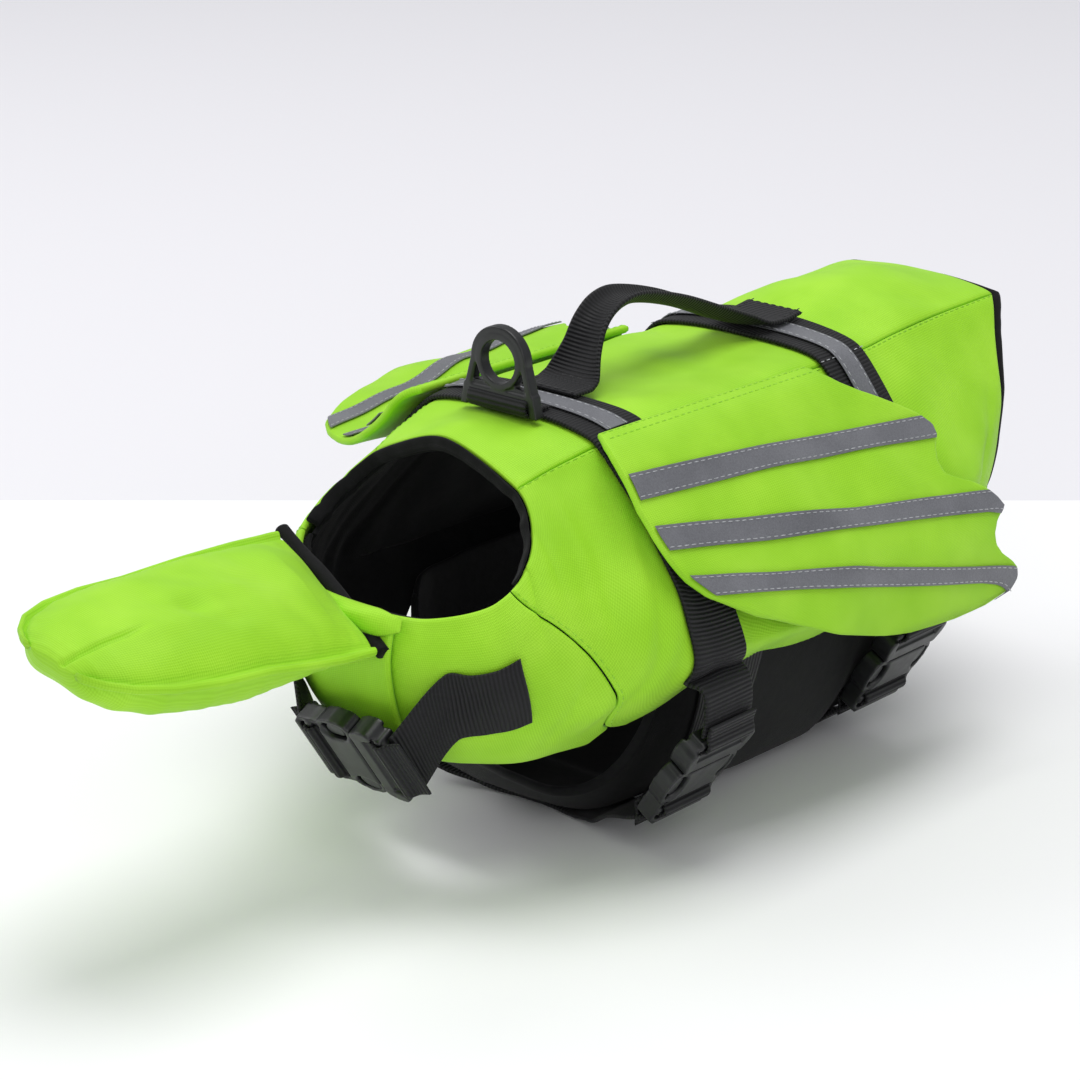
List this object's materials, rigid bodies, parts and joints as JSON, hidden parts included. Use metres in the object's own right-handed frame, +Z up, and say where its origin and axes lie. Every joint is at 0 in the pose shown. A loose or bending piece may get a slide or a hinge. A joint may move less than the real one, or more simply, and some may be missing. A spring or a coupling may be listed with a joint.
{
  "type": "dog life jacket",
  "caption": "Small dog life jacket, buckled up and hollow, with padded chin float, folded side wings, girth straps, grab handle and leash ring.",
  "frame": {"origin": "middle of the flat patch under the belly panel that rests on the ground, on the jacket's middle plane", "axes": "+Y from the neck to the tail, +Z up, +X towards the wearer's left side"},
  "size_m": [0.2276, 0.4355, 0.1788],
  "materials": {
    "neon_cloth": "coated woven polyester, fine diagonal weave, slight sheen",
    "black_cloth": "dull black lining cloth and binding",
    "black_webbing": "ribbed polyester webbing",
    "reflective_tape": "grey retroreflective tape, satin",
    "black_plastic": "moulded acetal, satin"
  },
  "bodies": {
    "jacket": {"back_panel": "neon_cloth", "left_side_panel": "neon_cloth", "right_side_panel": "neon_cloth", "left_chest_panel": "neon_cloth", "right_chest_panel": "neon_cloth", "left_wing": "neon_cloth", "right_wing": "neon_cloth", "throat_strip": "neon_cloth", "chin_float": "neon_cloth", "body_lining": "black_cloth", "chest_lining": "black_cloth", "belly_panel": "black_cloth", "neck_binding": "black_cloth", "tail_binding": "black_cloth", "front_girth_webbing": "black_webbing", "rear_girth_webbing": "black_webbing", "front_belly_webbing": "black_webbing", "rear_belly_webbing": "black_webbing", "left_chest_strap": "black_webbing", "right_chest_strap": "black_webbing", "handle": "black_webbing", "ring_keeper": "black_webbing", "front_girth_tape": "reflective_tape", "rear_girth_tape": "reflective_tape", "left_wing_tape_1": "reflective_tape", "left_wing_tape_2": "reflective_tape", "left_wing_tape_3": "reflective_tape", "right_wing_tape_1": "reflective_tape", "right_wing_tape_2": "reflective_tape", "right_wing_tape_3": "reflective_tape", "front_belly_buckle_socket": "black_plastic", "front_belly_buckle_plug": "black_plastic", "rear_belly_buckle_socket": "black_plastic", "rear_belly_buckle_plug": "black_plastic", "chest_buckle_socket": "black_plastic", "chest_buckle_plug": "black_plastic"},
    "leash_ring": {"leash_ring": "black_plastic"}
  },
  "joints": [
    {"name": "leash_ring_hinge", "type": "hinge", "parent": "jacket", "child": "leash_ring", "pos_m": [0, -0.074, 0.1527], "axis": [1, 0, 0], "range_deg": [-70, 85]}
  ]
}
